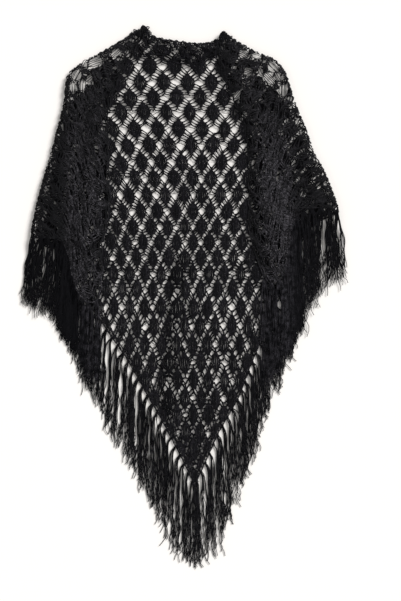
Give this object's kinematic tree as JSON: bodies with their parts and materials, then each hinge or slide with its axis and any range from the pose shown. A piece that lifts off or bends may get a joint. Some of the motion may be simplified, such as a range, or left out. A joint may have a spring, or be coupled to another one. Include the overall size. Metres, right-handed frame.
{
  "type": "knit shawl",
  "caption": "Open-knit triangular shawl with a knotted fringe, laid flat with its neck edge turned down and both ends folded forward over the back.",
  "frame": {"origin": "middle of the laid garment's outline, on the surface it lies on", "axes": "+X across the garment to the viewer's right seen from above, +Y from the fringed point up to the neck, +Z off the surface"},
  "size_m": [0.5707, 0.9899, 0.0187],
  "materials": {
    "knit_yarn": "matte",
    "band_yarn": "matte",
    "fringe_yarn": "matte"
  },
  "bodies": {
    "root": {"back_panel": "knit_yarn", "left_front": "knit_yarn", "right_front": "knit_yarn", "neck_band": "band_yarn", "left_back_fringe": "fringe_yarn", "right_back_fringe": "fringe_yarn", "left_front_fringe": "fringe_yarn", "right_front_fringe": "fringe_yarn"}
  },
  "joints": []
}
